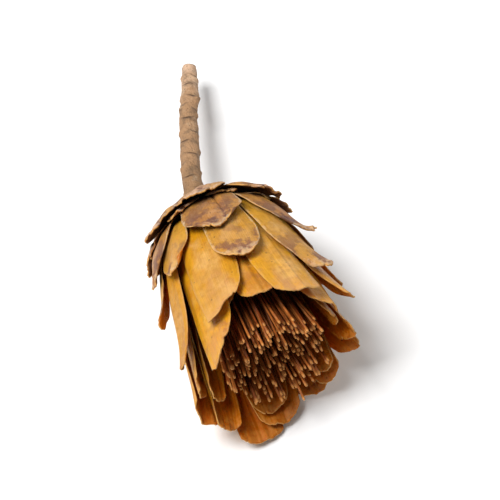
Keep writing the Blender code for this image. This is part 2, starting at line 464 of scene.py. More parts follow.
@dataclass(frozen=True)
class SkinFinish:
    """A dry leathery bract skin: colours run from its base over its middle to its tip."""

    name: str
    root: Colour
    body: Colour
    tip: Colour
    gold: Colour
    stain: Colour
    margin: Colour
    stain_threshold: float = 0.55
    stain_from: float = 0.55
    gold_share: float = 0.6
    # Pale colour painted in patches down the bract's middle as a highlight on its bulge.
    painted_highlight: Colour = (0.80, 0.56, 0.30)
    painted_highlight_share: float = 0.0
    vein_share: float = 0.3
    glow: float = 0.0
    # How far up from the base the painted base shade reaches.
    base_shade_until: float = 0.2
    margin_share: float = 0.5
    roughness: float = 0.45
    bump: float = 0.5

    def material(self) -> bpy.types.Material:
        """Build the finish.

        Returns:
            The material.
        """
        material, graph, shader = start_material(self.name, self.roughness)
        shader.inputs["Subsurface Weight"].default_value = self.glow
        shader.inputs["Subsurface Radius"].default_value = GLOW_SPREAD
        shader.inputs["Subsurface Scale"].default_value = GLOW_REACH
        uv = graph.node("ShaderNodeUVMap", uv_map="bract").outputs[0]
        place = graph.place()
        split = graph.node("ShaderNodeSeparateXYZ", {0: uv})
        across, along = split.outputs[0], split.outputs[1]
        side = graph.math("ABSOLUTE", graph.math("SUBTRACT", across, 0.5))
        cloud = graph.noise(place, 105.0, 4.0)
        shift = graph.ease(cloud, 0.25, 0.75, -0.22, 0.22)
        mottle = graph.noise(place, 640.0, 4.0, 0.6)
        # From the base to the tip, then the golden flanks and a painted highlight in patches down the
        # middle.
        colour = graph.ramp(graph.plus(along, shift), (
            (0.30, self.root), (0.62, self.body), (0.78, self.body), (1.02, self.tip)))
        outwards = graph.plus(side, shift)
        gold = graph.math("MAXIMUM", graph.patches(place, 70.0, 0.56, 0.08),
                          graph.ease(outwards, 0.24, 0.40))
        colour = graph.cover(colour, gold, self.gold_share, self.gold)
        # Painted highlight: pale patches down the middle, fading towards the margins.
        painted_highlight = graph.times(graph.patches(place, 95.0, 0.53, 0.10),
                            graph.ease(outwards, 0.30, 0.12))
        colour = graph.cover(colour, painted_highlight, self.painted_highlight_share, self.painted_highlight)
        # Veins, mottling and each bract's own shade.
        veins = graph.group(PatternGroup.VEINS, vector=uv, across=46.0, along=1.4)
        fine = graph.group(PatternGroup.VEINS, vector=uv, across=120.0, along=5.0)
        streak = graph.times(graph.plus(veins, fine), 0.5)
        dark = graph.tint(colour, (0.62, 0.47, 0.36))
        colour = graph.mix(graph.ease(streak, 0.7, 0.1, 0.0, self.vein_share), colour, dark)
        colour = graph.mix(graph.ease(mottle, 0.48, 0.72, 0.0, 0.45), colour, dark)
        light = graph.tint(colour, (1.14, 1.14, 1.15))
        colour = graph.mix(graph.ease(mottle, 0.50, 0.30, 0.0, 0.5), colour, light)
        shade = graph.tint(colour, (0.72, 0.62, 0.52))
        colour = graph.cover(colour, graph.attribute("tone"), 0.75, shade)
        # Painted shade darkening each bract's base, then the stains near the tip, the specks and the
        # pale margin.
        base_shade = graph.ease(graph.plus(along, graph.ease(cloud, 0.3, 0.7, -0.05, 0.05)),
                          self.base_shade_until, self.base_shade_until - 0.14)
        colour = graph.cover(colour, base_shade, 0.9, BASE_SHADE)
        blotch = graph.times(graph.patches(place, 170.0, self.stain_threshold, 0.05),
                             graph.ease(along, self.stain_from, 1.0))
        colour = graph.cover(colour, blotch, 0.85, self.stain)
        specks = graph.group(PatternGroup.SPECKS, vector=place, scale=520.0, size=0.17)
        colour = graph.cover(colour, specks, 0.6, SPECK)
        edge = graph.math("MAXIMUM", graph.times(side, 2.0), along)
        edge = graph.plus(edge, graph.ease(mottle, 0.3, 0.7, -0.06, 0.06))
        colour = graph.cover(colour, graph.ease(edge, 0.90, 1.0), self.margin_share, self.margin)
        graph.feed(shader.inputs["Base Color"], colour)
        rough = graph.plus(graph.times(gold, -0.08), self.roughness)
        rough = graph.plus(rough, graph.ease(mottle, 0.35, 0.65, -0.05, 0.10))
        graph.feed(shader.inputs["Roughness"], rough)
        grain = graph.noise(place, 1500.0, 3.0)
        relief = graph.plus(graph.times(streak, 0.35), graph.times(grain, 0.16))
        relief = graph.plus(relief, graph.times(mottle, 0.5))
        relief = graph.plus(relief, graph.times(blotch, 0.12))
        add_bump(graph, shader, relief, 0.0006, self.bump)
        return material


@dataclass(frozen=True)
class EdgeFinish:
    """The pale fibrous cut edge of a bract."""

    name: str = "bract_cut_edge"
    light: Colour = (0.68, 0.36, 0.10)
    dark: Colour = (0.34, 0.13, 0.03)

    def material(self) -> bpy.types.Material:
        """Build the finish.

        Returns:
            The material.
        """
        material, graph, shader = start_material(self.name, 0.6)
        place = graph.place()
        worn = graph.noise(place, 420.0, 4.0)
        colour = graph.mix(graph.ease(worn, 0.42, 0.66), self.light, self.dark)
        graph.feed(shader.inputs["Base Color"], colour)
        add_bump(graph, shader, graph.noise(place, 2600.0, 2.0), 0.0003, 0.5)
        return material


@dataclass(frozen=True)
class FloretFinish:
    """Rust-brown dried florets with light cut tips."""

    name: str = "floret_sticks"
    # Near-black painted shade low down between the florets.
    root: Colour = (0.022, 0.006, 0.003)
    body: Colour = (0.24, 0.052, 0.008)
    pale: Colour = (0.52, 0.17, 0.035)
    tip: Colour = (0.60, 0.26, 0.07)

    def material(self) -> bpy.types.Material:
        """Build the finish.

        Returns:
            The material.
        """
        material, graph, shader = start_material(self.name, 0.5)
        place = graph.place()
        height = graph.attribute("height")
        tone = graph.attribute("tone")
        streak = graph.noise(graph.stretch(place, (1.0, 0.12, 1.0)), 1500.0, 3.0)
        body = graph.mix(tone, self.body, self.pale)
        dark = graph.tint(body, (0.35, 0.28, 0.24))
        body = graph.mix(graph.ease(streak, 0.35, 0.7, 0.0, 0.75), body, dark)
        # Painted shade: near black towards the pad, deep in the gaps between the florets.
        colour = graph.mix(graph.ease(height, 0.50, 0.97), self.root, body)
        colour = graph.mix(graph.ease(height, 0.965, 0.998), colour, self.tip)
        graph.feed(shader.inputs["Base Color"], colour)
        add_bump(graph, shader, streak, 0.0003, 0.6)
        return material


@dataclass(frozen=True)
class BarkFinish:
    """Thin bark with leaf scars, paler towards the cut end."""

    name: str
    near_head: Colour = (0.25, 0.140, 0.062)
    middle: Colour = (0.46, 0.265, 0.138)
    far_end: Colour = (0.76, 0.50, 0.33)
    scar: Colour = (0.060, 0.028, 0.016)
    lichen: Colour = (0.21, 0.135, 0.08)
    worn: Colour = (0.66, 0.47, 0.30)

    def material(self) -> bpy.types.Material:
        """Build the finish.

        Returns:
            The material.
        """
        material, graph, shader = start_material(self.name, 0.72)
        place = graph.place()
        height = graph.attribute("height")
        scars = graph.attribute("scar")
        cloud = graph.noise(place, 260.0, 5.0, 0.65)
        colour = graph.ramp(graph.plus(height, graph.ease(cloud, 0.25, 0.75, -0.12, 0.12)), (
            (0.0, self.near_head), (0.35, self.middle), (0.75, self.middle), (1.0, self.far_end)))
        grey = graph.patches(place, 330.0, 0.56, 0.08)
        colour = graph.cover(colour, grey, 0.7, self.lichen)
        pale = graph.patches(place, 190.0, 0.60, 0.06)
        colour = graph.cover(colour, pale, 0.45, self.worn)
        specks = graph.group(PatternGroup.SPECKS, vector=place, scale=900.0, size=0.22)
        colour = graph.cover(colour, specks, 0.6, self.scar)
        colour = graph.mix(graph.math("MULTIPLY", scars, 0.9, clamp=True), colour, self.scar)
        graph.feed(shader.inputs["Base Color"], colour)
        cracks = graph.noise(graph.stretch(place, (1.0, 0.3, 1.0)), 1300.0, 5.0, 0.7)
        add_bump(graph, shader, graph.plus(cracks, graph.times(scars, -0.6)), 0.0011, 1.0)
        return material


@dataclass(frozen=True)
class CutWoodFinish:
    """Freshly cut pale wood with a brown pith."""

    name: str = "stem_cut_wood"
    wood: Colour = (0.74, 0.53, 0.34)
    ring: Colour = (0.45, 0.27, 0.14)

    def material(self) -> bpy.types.Material:
        """Build the finish.

        Returns:
            The material.
        """
        material, graph, shader = start_material(self.name, 0.8)
        place = graph.place()
        grain = graph.noise(place, 900.0, 4.0)
        graph.feed(shader.inputs["Base Color"],
                   graph.mix(graph.ease(grain, 0.4, 0.65), self.wood, self.ring))
        add_bump(graph, shader, grain, 0.0004, 0.6)
        return material


# ---------------------------------------------------------------- bracts


@dataclass(frozen=True)
class BractForm:
    """One bract's own form: angles in degrees round the axis, where 90 is the top."""

    angle: float
    reach: float
    tip: float = 0.8
    flare: float = 0.0
    cup: float = 0.0
    skew: float = 0.0
    slant: float = 0.0
    broad: float = 1.0
    twist: float = 0.0
    split: float = 0.0


@dataclass(frozen=True)
class BractLook:
    """How worn and curled a ring's bracts are, in millimetres where it is a length."""

    ragged: float
    dent: float
    fold: float
    curl: float
    tip_curl: float
    margin_wave: float
    along: int
    crumple: float
    thickness: float = 0.6
    margin_share: float = 0.30
    across: int = 52
    corner: float = 1.0
    keel: float = 0.25
    turn: float = -0.3
    tears: int = 2
    tear: float = 1.2
    belly: float = 0.10
    awning: bool = False


@dataclass(frozen=True)
class BractRing:
    """A ring of bracts that share one curve along the head."""

    name: str
    slot: str
    outer: SkinFinish
    inner: SkinFinish
    profile: Profile
    width: float
    base: float
    lag: float
    flare_from: float
    look: BractLook
    forms: tuple[BractForm, ...]
    side_gap: float = 2.4
    stands_for_cad: bool = True


@dataclass(frozen=True)
class Tear:
    """A split that runs into a bract's end: place across it, depth in millimetres, and width."""

    place: float
    depth: float
    width: float


class BractShape:
    """Works out where the surface of one bract lies."""

    def __init__(self, ring: BractRing, form: BractForm, draw: random.Random) -> None:
        """Draw the bract's own seed and tears.

        Args:
            ring: The bract's ring.
            form: Its own form.
            draw: Its random numbers.
        """
        self.ring = ring
        self.form = form
        self.seed = draw.uniform(0.0, 300.0)
        look = ring.look
        self.tears = [Tear(draw.uniform(-0.85, 0.85), look.tear * draw.uniform(0.2, 1.0) ** 2,
                           draw.uniform(0.03, 0.09)) for _ in range(look.tears)]

    def wander(self, number: float, x: float, y: float = 0.0) -> float:
        """This bract's own smooth noise, a different one for each number."""
        return wander(self.seed + number, x, y)

    def room(self, s: float) -> float:
        """Find how wide the bract may be between its neighbours.

        Args:
            s: From 0 at its base to 1 at its tip.

        Returns:
            The widest half-angle there, in radians.
        """
        form = self.form
        middle = form.angle + form.skew * s * s
        apart = [abs((other.angle + other.skew * s * s - middle + 180) % 360 - 180)
                 for other in self.ring.forms if other is not form]
        return math.radians(min(apart) - self.ring.side_gap) / 2

    def width_share(self, s: float) -> float:
        """Outline of the bract, from its narrow base over its middle to its tip.

        Args:
            s: From 0 at its base to 1 at its tip.

        Returns:
            The share of its full width there.
        """
        rise = min(1.0, s / 0.45)
        body = self.ring.base + (1.0 - self.ring.base) * math.sin(rise * math.pi / 2)
        return body * (1.0 - (1.0 - self.form.tip) * past(s, 0.45) ** 2.2)

    def end_line(self, s: float, u: float) -> float:
        """Shape of the end, with its rounding, bites and tears.

        Args:
            s: From 0 at its base to 1 at its tip.
            u: From -1 at one margin to 1 at the other.

        Returns:
            How far in millimetres the point reaches past a straight cut.
        """
        look = self.ring.look
        ends = (self.form.slant * u - self.ring.lag * u * u) * s**3
        ends -= look.corner * abs(u) ** 5 * s**4
        bite = self.wander(0.0, u * 2.1) + 0.55 * self.wander(1.4, u * 6.0)
        bite += 0.35 * self.wander(6.6, u * 15.0)
        torn = sum(tear.depth * math.exp(-(((u - tear.place) / tear.width) ** 2))
                   for tear in self.tears)
        return ends + look.ragged * bite * s**6 - torn * s**7

    def lift(self, s: float, u: float) -> float:
        """Relief of the bract: its flare, dents, folds and curled edges.

        Args:
            s: From 0 at its base to 1 at its tip.
            u: From -1 at one margin to 1 at the other.

        Returns:
            How far in millimetres the point stands off the ring's curve.
        """
        look, form = self.ring.look, self.form
        lifted = 1.0 - (1.0 - s) ** 2 if look.awning else past(s, self.ring.flare_from) ** 2
        off = form.flare * lifted - form.cup * u * u * s * s
        off -= form.twist * u * s**4
        if form.split:
            gap = u - form.split - 0.06 * self.wander(1.9, s * 6.0)
            depth = min(1.0, 3.0 * max(0.0, 0.86 - s))
            off += depth * (0.5 * past(-gap, 0.0) ** 0.3 - 1.3 * math.exp(-((gap / 0.05) ** 2)))
        off += look.dent * self.wander(5.1, u * 1.2, s * 2.6)
        off += look.fold * (0.25 + 0.75 * s) * self.wander(7.3, u * 3.4, s * 0.9)
        off += 0.35 * look.fold * self.wander(8.9, u * 7.5, s * 1.6)
        ridge = u - 0.3 * self.wander(9.7, s * 0.8)
        keel = math.exp(-((ridge / 0.10) ** 2)) * 0.7 - abs(ridge) * 0.9
        off += look.keel * (0.3 + 0.7 * s) * keel
        side = 2.2 if u > 0 else -2.2
        turn = look.turn + 1.2 * self.wander(side, s * 1.7)
        off += look.curl * past(abs(u), 0.55) ** 2 * min(1.0, 1.6 * s) * turn
        off += look.tip_curl * past(s, 0.84) ** 2 * (0.3 + 1.2 * self.wander(3.7, u * 1.6))
        return off + look.crumple * s * self.wander(6.1, u * 2.6, s * 5.0)

    def point(self, s: float, u: float) -> tuple[float, float, float]:
        """Place a point of the bract.

        Args:
            s: From 0 at its base to 1 at its tip.
            u: From -1 at one margin to 1 at the other.

        Returns:
            The radius, the angle in radians and the distance along the axis.
        """
        ring, form = self.ring, self.form
        start = ring.profile[0][0]
        along = start + (form.reach - start) * s + self.end_line(s, u)
        radius = smooth_lookup(ring.profile, along)
        half = ring.width * form.broad * self.width_share(s) / 2 / radius
        half = soft_min(half, self.room(s), 0.16) * (1.0 - ring.look.belly * past(s, 0.68) ** 2)
        side = 4.4 if u > 0 else -4.4
        wave = self.wander(side, s * 4.0) + 0.5 * self.wander(side * 2.1, s * 11.0)
        half *= 1.0 + ring.look.margin_wave * wave * abs(u) ** 3
        angle = math.radians(form.angle + form.skew * s * s) + half * u
        return radius + self.lift(s, u), angle, along


@dataclass
class Involucre:
    """The rings of bracts, each bract a fine shell in place of its CAD solid."""

    placement: Placement
    rings: tuple[BractRing, ...]

    def build(self) -> list[bpy.types.Object]:
        """Build every bract of every ring.

        Returns:
            The new pieces.
        """
        pieces = []
        edge = EdgeFinish().material()
        for ring in self.rings:
            skins = [ring.outer.material(), ring.inner.material(), edge]
            for number, form in enumerate(ring.forms, start=1):
                pieces.append(self.bract(ring, form, f"{ring.name}_{number}", skins))
        return pieces

    def bract(self, ring: BractRing, form: BractForm, node: str,
              skins: list[bpy.types.Material]) -> bpy.types.Object:
        """One bract: a fine grid bent onto its surface, thickened and thinner at its margins.

        Args:
            ring: The bract's ring.
            form: Its own form.
            node: The CAD node that it replaces.
            skins: Materials of its outer face, inner face and edge.

        Returns:
            The bract.
        """
        draw = random.Random(node)
        shape = BractShape(ring, form, draw)
        tone = draw.random()
        bm = bmesh.new()
        bmesh.ops.create_grid(bm, x_segments=ring.look.across, y_segments=ring.look.along, size=1.0)
        uv = bm.loops.layers.uv.new("bract")
        tones = bm.verts.layers.float.new("tone")
        weights = bm.verts.layers.deform.verify()
        for face in bm.faces:
            for loop in face.loops:
                loop[uv].uv = ((loop.vert.co.x + 1) / 2, (loop.vert.co.y + 1) / 2)
        for vert in bm.verts:
            u, s = vert.co.x, (vert.co.y + 1) / 2
            vert[tones] = tone
            inside = min(1.0, (1.0 - abs(u)) / 0.45) * min(1.0, 0.45 + (1.0 - s) / 0.12)
            vert[weights][0] = max(0.0, inside)
            vert.co = self.placement.at(*shape.point(s, u))
            vert.co.z = max(vert.co.z, FLOOR_CLEARANCE)
        replaced = node if ring.stands_for_cad else None
        piece = new_piece(f"{node}_leaf", bm, skins, replaced)
        piece.vertex_groups.new(name="body")
        shell = piece.modifiers.new("thickness", "SOLIDIFY")
        shell.thickness = ring.look.thickness * MM
        shell.offset = 0.0
        shell.vertex_group = "body"
        shell.thickness_vertex_group = ring.look.margin_share
        shell.material_offset = 1
        shell.material_offset_rim = 2
        return piece


# ---------------------------------------------------------------- florets


@dataclass
class FloretBrush:
    """The brush of cut florets on its pad, leaning together in small clumps."""

    placement: Placement
    count: int = 250
    clumps: int = 54
    pad_start: float = 17.4
    pad_radius: float = 11.2
    spread: float = 1.50
    tip_along: float = 57.5
    rim_rise: float = 3.5
    low_rise: float = 4.0
    unevenness: float = 3.6
    gather: float = 0.46
    thickness: tuple[float, float] = (0.31, 0.46)
    seed: int = 29
    pad_depth: float = 1.2
    rings: tuple[float, ...] = (0.0, 0.3, 0.6, 0.82, 0.95, 0.985, 1.0)
    girths: tuple[float, ...] = (0.8, 0.95, 1.0, 0.9, 0.95, 1.12, 0.8)

    def build(self) -> bpy.types.Object:
        """Build the pad and every floret as one piece.

        Returns:
            The brush.
        """
        draw = random.Random(self.seed)
        bm = bmesh.new()
        height = bm.verts.layers.float.new("height")
        tone = bm.verts.layers.float.new("tone")
        pattern = self.stick(bm)
        centres = [self.spot(i, self.clumps, 0.0, draw) for i in range(self.clumps)]
        for i in range(self.count):
            self.grow(bm, pattern, self.spot(i, self.count, 0.42, draw), centres, draw,
                      height, tone)
        bmesh.ops.delete(bm, geom=pattern["verts"], context="VERTS")
        self.pad(bm)
        bmesh.ops.recalc_face_normals(bm, faces=bm.faces[:])
        return new_piece("floret_brush", bm, [FloretFinish().material()],
                         "florets")

    def spot(self, index: int, count: int, jitter: float, draw: random.Random) -> Vector:
        """Find a place on the pad, in a sunflower's order.

        Args:
            index: Which place.
            count: How many places there are.
            jitter: How far in millimetres it may stray.
            draw: The brush's random numbers.

        Returns:
            The place, in millimetres.
        """
        radius = (self.pad_radius - 0.5) * math.sqrt((index + 0.5) / count)
        angle = index * GOLDEN_ANGLE
        return Vector((radius * math.cos(angle) + draw.uniform(-jitter, jitter),
                       radius * math.sin(angle) + draw.uniform(-jitter, jitter), 0.0))

    def stick(self, bm: bmesh.types.BMesh) -> dict[str, list]:
        """Make a six-sided stick of unit girth whose z is its ring number.

        Args:
            bm: The brush's bmesh.

        Returns:
            The stick's vertices, and all of its geometry.
        """
        made = bmesh.ops.create_circle(bm, cap_ends=True, radius=1.0, segments=6)
        verts = list(made["verts"])
        cap = verts[0].link_faces[0]
        for _ in self.rings[1:]:
            grown = bmesh.ops.extrude_face_region(bm, geom=[cap])["geom"]
            cap = next(item for item in grown if isinstance(item, bmesh.types.BMFace))
            fresh = verts_of(grown)
            bmesh.ops.translate(bm, verts=fresh, vec=(0.0, 0.0, 1.0))
            verts += fresh
        edges = list({edge for vert in verts for edge in vert.link_edges})
        bmesh.ops.holes_fill(bm, edges=[edge for edge in edges if edge.is_boundary])
        faces = list({face for vert in verts for face in vert.link_faces})
        return {"verts": verts, "geom": verts + edges + faces}

    def grow(self, bm: bmesh.types.BMesh, pattern: dict[str, list], root: Vector,
             centres: list[Vector], draw: random.Random, height: object, tone: object) -> None:
        """Copy the stick, then lean, bend and swell the copy.

        Args:
            bm: The brush's bmesh.
            pattern: The unit stick.
            root: The floret's place on the pad, in millimetres.
            centres: The clumps' middles.
            draw: The brush's random numbers.
            height: Layer for the share of the floret's length.
            tone: Layer for the floret's own shade.
        """
        nearest = min(centres, key=lambda centre: (centre - root).length)
        tip = root.lerp(nearest, self.gather) * self.spread
        tip += Vector((draw.gauss(0.0, 0.35), draw.gauss(0.0, 0.35), 0.0))
        away = (root.length / self.pad_radius) ** 2
        length = self.tip_along + self.rim_rise * away - self.pad_start
        length += self.low_rise * max(0.0, -root.y) / self.pad_radius
        length += draw.uniform(-self.unevenness, self.unevenness)
        bow = Vector((draw.gauss(0.0, 0.5), draw.gauss(0.0, 0.5), 0.0))
        girth = draw.uniform(*self.thickness)
        turn = draw.uniform(0.0, math.pi)
        shade = draw.random()
        copied = bmesh.ops.duplicate(bm, geom=pattern["geom"])["geom"]
        for vert in verts_of(copied):
            ring = round(vert.co.z)
            share = self.rings[ring]
            middle = root.lerp(tip, share ** 1.15) + bow * math.sin(math.pi * share)
            wide = girth * self.girths[ring] * (1.0 + 0.12 * draw.uniform(-1.0, 1.0))
            angle = math.atan2(vert.co.y, vert.co.x) + turn
            spot = middle + Vector((wide * math.cos(angle), wide * math.sin(angle), 0.0))
            along = self.pad_start + length * share
            vert[height] = share
            vert[tone] = shade
            vert.co = self.placement.local(Vector((spot.x, -along, spot.y)))

    def pad(self, bm: bmesh.types.BMesh) -> None:
        """Add the woody disc that the florets grow from.

        Args:
            bm: The brush's bmesh.
        """
        made = bmesh.ops.create_circle(bm, cap_ends=True, radius=self.pad_radius, segments=40)
        cap = made["verts"][0].link_faces[0]
        grown = bmesh.ops.extrude_face_region(bm, geom=[cap], use_keep_orig=True)["geom"]
        fresh = verts_of(grown)
        bmesh.ops.translate(bm, verts=fresh, vec=(0.0, 0.0, self.pad_depth))
        for vert in list(made["verts"]) + fresh:
            vert.co = self.placement.local(Vector((vert.co.x, -self.pad_start - vert.co.z,
                                                   vert.co.y)))


# ---------------------------------------------------------------- stem and receptacle


def wrapped_tube(rings: int, sides: int) -> tuple[bmesh.types.BMesh, object, object]:
    """Flat grid that becomes a tube, with layers for its height and its scars.

    Args:
        rings: Steps along the tube.
        sides: Steps round it.

    Returns:
        The bmesh, the height layer and the scar layer.
    """
    bm = bmesh.new()
    bmesh.ops.create_grid(bm, x_segments=sides, y_segments=rings, size=1.0)
    return bm, bm.verts.layers.float.new("height"), bm.verts.layers.float.new("scar")


def close_tube(bm: bmesh.types.BMesh, inset: float, cap_material: int) -> None:
    """Join a tube's seam and cap its ends with a slightly sunk face.

    Args:
        bm: The tube.
        inset: Width in metres of the rounded rim of each cap.
        cap_material: Material index of the caps.
    """
    bmesh.ops.remove_doubles(bm, verts=bm.verts[:], dist=0.000001)
    rims = [edge for edge in bm.edges if edge.is_boundary]
    caps = bmesh.ops.holes_fill(bm, edges=rims)["faces"]
    for depth in (0.35, -0.12):
        bmesh.ops.inset_individual(bm, faces=caps, thickness=inset, depth=depth * inset)
    for face in caps:
        face.material_index = cap_material
        for edge in face.edges:
            for near in edge.link_faces:
                near.material_index = cap_material
    bmesh.ops.recalc_face_normals(bm, faces=bm.faces[:])


@dataclass
class Stem:
    """The cut woody stem with its leaf scars and one dormant bud."""

    placement: Placement
    route: tuple[tuple[float, float, float], ...] = (
        (0.0, 0.4, 0.0), (0.1, 7.0, 0.0), (1.8, 16.0, -0.4), (5.8, 28.5, -1.0),
        (9.4, 40.0, -1.0), (13.8, 51.0, -2.0), (17.4, 62.0, -2.4))
    radii: tuple[float, ...] = (4.7, 3.3, 3.0, 3.0, 2.85, 2.8, 2.35)
    rings: int = 300
    sides: int = 44
    scar_spacing: float = 1.9
    bud_along: float = 46.0
    bud_angle: float = 0.6

    def centre(self, share: float) -> tuple[Vector, float]:
        """Follow the stem's route.

        Args:
            share: How far along the route, from 0 to 1.

        Returns:
            The stem's middle there and its radius, in millimetres.
        """
        steps = tuple(range(len(self.route)))
        place = share * steps[-1]
        axes = [smooth_lookup(tuple(zip(steps, [point[i] for point in self.route])), place)
                for i in range(3)]
        return Vector(axes), smooth_lookup(tuple(zip(steps, self.radii)), place)

    def relief(self, along: float, angle: float, radius: float) -> tuple[float, float]:
        """Work out the bark, the scars and the bud at a place.

        Args:
            along: Distance from the head, in millimetres.
            angle: Angle round the stem.
            radius: The stem's radius there.

        Returns:
            How far the bark stands out, in millimetres, and how dark its scar is.
        """
        ring = Vector((math.cos(angle), math.sin(angle), along * 0.16))
        out = 0.13 * noise.noise(ring * 1.6) + 0.07 * noise.noise(ring * 5.0)
        out += 0.07 * noise.noise(Vector((ring.x * 2, ring.y * 2, along * 1.3)))
        out += 0.05 * noise.noise(Vector((ring.x * 5, ring.y * 5, along * 3.1)))
        dark = 0.0
        first = int(along / self.scar_spacing) - 1
        for number in range(first, first + 4):
            turn = number * GOLDEN_ANGLE
            over = ((angle - turn + math.pi) % math.tau - math.pi) * radius
            gap = along - (number + 0.5) * self.scar_spacing - 0.13 * over * over
            wide = math.exp(-((over / 2.0) ** 2))
            out += 0.42 * wide * math.exp(-(((gap + 0.5) / 0.7) ** 2))
            dark += wide * math.exp(-(((gap - 0.25) / 0.38) ** 2))
        over = ((angle - self.bud_angle + math.pi) % math.tau - math.pi) * radius
        gap = along - self.bud_along
        out += 1.3 * math.exp(-((over / 1.0) ** 2 + (gap / 1.3) ** 2))
        return out, min(1.0, dark)

    def build(self) -> bpy.types.Object:
        """Build the stem.

        Returns:
            The stem.
        """
        bm, height, scar = wrapped_tube(self.rings, self.sides)
        length = self.route[-1][1]
        for vert in bm.verts:
            share = (vert.co.y + 1) / 2
            angle = vert.co.x * math.pi
            middle, radius = self.centre(share)
            ahead = (self.centre(min(1.0, share + 0.01))[0]
                     - self.centre(max(0.0, share - 0.01))[0]).normalized()
            side = ahead.cross(Vector((0.0, 0.0, 1.0))).normalized()
            up = side.cross(ahead)
            turn = math.pi if abs(vert.co.x) == 1.0 else angle
            out, dark = self.relief(middle.y, turn, radius)
            vert[height] = middle.y / length
            vert[scar] = dark
            wide = radius + out
            spot = middle + side * wide * math.cos(turn) + up * wide * math.sin(turn)
            vert.co = self.placement.local(spot)
        close_tube(bm, 0.5 * MM, 1)
        return new_piece("stem_bark", bm, [BarkFinish("stem_bark").material(),
                                           CutWoodFinish().material()], "stem")


@dataclass
class Receptacle:
    """The woody heart that the bracts grow from, seen only between their bases."""

    placement: Placement
    rings: int = 60
    sides: int = 72

    def build(self) -> bpy.types.Object:
        """Build the receptacle.

        Returns:
            The receptacle.
        """
        bm, height, scar = wrapped_tube(self.rings, self.sides)
        depth = RECEPTACLE_PROFILE[-1][0]
        for vert in bm.verts:
            along = (vert.co.y + 1) / 2 * depth
            turn = math.pi if abs(vert.co.x) == 1.0 else vert.co.x * math.pi
            ring = Vector((math.cos(turn), math.sin(turn), along * 0.3))
            rough = 0.35 * noise.noise(ring * 3.0) + 0.2 * noise.noise(ring * 8.0) - 0.25
            vert[height] = 0.1
            vert[scar] = 0.0
            vert.co = self.placement.at(smooth_lookup(RECEPTACLE_PROFILE, along) + rough, turn,
                                        along)
        close_tube(bm, 0.8 * MM, 0)
        finish = BarkFinish("receptacle_bark", near_head=(0.20, 0.105, 0.05),
                            middle=(0.22, 0.12, 0.06), far_end=(0.24, 0.13, 0.06))
        return new_piece("receptacle_heart", bm, [finish.material()],
                         "receptacle")


# ---------------------------------------------------------------- studio


@dataclass(frozen=True)
class SoftLight:
    """A square soft light: where it stands from the part's middle, its side and its watts."""

    name: str
    offset: tuple[float, float, float]
    size: float
    power: float

    def build(self, aim: Vector) -> None:
        """Hang the light.

        Args:
            aim: The point that it faces.
        """
        lamp = bpy.data.lights.new(self.name, "AREA")
        lamp.size = self.size
        lamp.energy = self.power
        holder = bpy.data.objects.new(self.name, lamp)
        holder.location = aim + Vector(self.offset)
        holder.rotation_euler = (-Vector(self.offset)).to_track_quat("-Z", "Y").to_euler()
        show(holder)


@dataclass
class Studio:
    """Plain pale floor, soft light and the camera."""

    lights: tuple[SoftLight, ...] = (SoftLight("key", (-0.32, 0.02, 0.62), 0.32, 6.3),
                                     SoftLight("rim", (0.50, 0.30, 0.45), 0.35, 1.5))
    surrounding: float = 0.21
    paper: float = 0.95
    floor_size: float = 4.0
    azimuth: float = -21.0
    elevation: float = 56.0
    distance: float = 0.53
    lens: float = 128.0
    aim_right: float = 0.0125
    aim_down: float = 0.0120

    def build(self) -> None:
        """Set the floor, the lights, the world and the camera."""
        low, high = CAD_BOX
        middle = (low + high) / 2
        self.floor(low.z)
        for light in self.lights:
            light.build(middle)
        self.world()
        self.camera(middle)

    def floor(self, level: float) -> None:
        """Lay a wide pale floor just under the part.

        Args:
            level: Its height.
        """
        bm = bmesh.new()
        bmesh.ops.create_grid(bm, x_segments=1, y_segments=1, size=self.floor_size)
        bmesh.ops.translate(bm, verts=bm.verts[:], vec=(0.0, 0.0, level))
        mesh = bpy.data.meshes.new("floor")
        bm.to_mesh(mesh)
        bm.free()
        floor = bpy.data.objects.new("floor", mesh)
        show(floor)
        paper, _, shader = start_material("floor_paper", 0.9, 0.0)
        shader.inputs["Base Color"].default_value = (self.paper, self.paper, self.paper, 1.0)
        mesh.materials.append(paper)

    def world(self) -> None:
        """Surround the part with even white."""
        world = bpy.data.worlds.new("studio")
        world.use_nodes = True
        ground = world.node_tree.nodes["Background"]
        ground.inputs[0].default_value = (1.0, 1.0, 1.0, 1.0)
        ground.inputs[1].default_value = self.surrounding
        bpy.context.scene.world = world
        bpy.context.scene.view_settings.view_transform = "Standard"

    def camera(self, middle: Vector) -> None:
        """Set the camera to look down on the head from in front of its mouth.

        Args:
            middle: The part's middle.
        """
        turn, rise = math.radians(self.azimuth), math.radians(self.elevation)
        back = Vector((math.sin(turn) * math.cos(rise), -math.cos(turn) * math.cos(rise),
                       math.sin(rise)))
        data = bpy.data.cameras.new("camera")
        data.lens = self.lens
        data.sensor_width = 36.0
        camera = bpy.data.objects.new("camera", data)
        right = Vector((math.cos(turn), math.sin(turn), 0.0))
        aim = middle + right * self.aim_right - back.cross(right) * self.aim_down
        camera.location = aim + back * self.distance
        camera.rotation_euler = (-back).to_track_quat("-Z", "Y").to_euler()
        show(camera)
        bpy.context.scene.camera = camera
